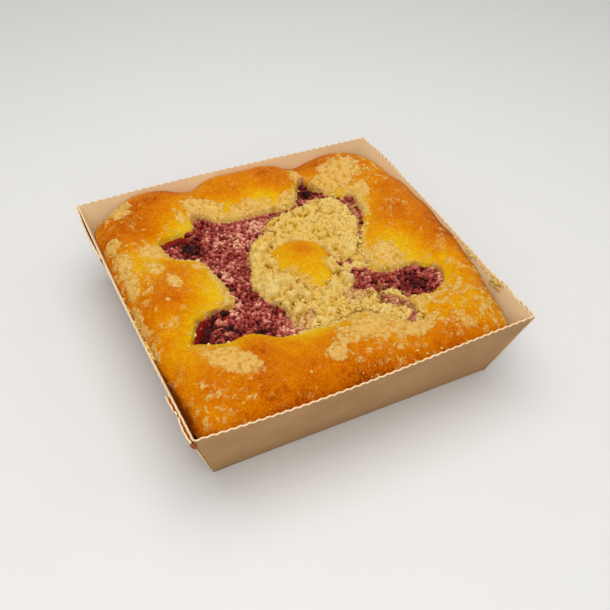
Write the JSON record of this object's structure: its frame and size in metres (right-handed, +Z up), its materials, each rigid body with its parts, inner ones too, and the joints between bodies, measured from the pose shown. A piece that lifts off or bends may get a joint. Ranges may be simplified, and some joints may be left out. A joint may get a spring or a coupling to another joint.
{
  "type": "berry crumble cake",
  "caption": "Square crumble cake in a folded board baking tray: golden dough flaps open like a star over a red berry filling, with pale crumble heaped round the middle.",
  "frame": {"origin": "middle of the tray's underside", "axes": "+Z up through the cake, -Y towards the front wall that the picture shows, +X along it to the right"},
  "size_m": [0.1654, 0.1636, 0.0438],
  "materials": {
    "tray_board": "uncoated kraft board, fine fibre, pale cut edge",
    "cake_crust": "satin baked crust, orange-brown on the highs and yellow near the opening",
    "fruit_filling": "dark red jam with soaked pink and maroon crumbs",
    "crumble": "dry pale yellow crumble"
  },
  "bodies": {
    "root": {"board_tray": "tray_board", "cake": "cake_crust", "fruit_filling": "fruit_filling", "crumble_topping": "crumble"}
  },
  "joints": []
}
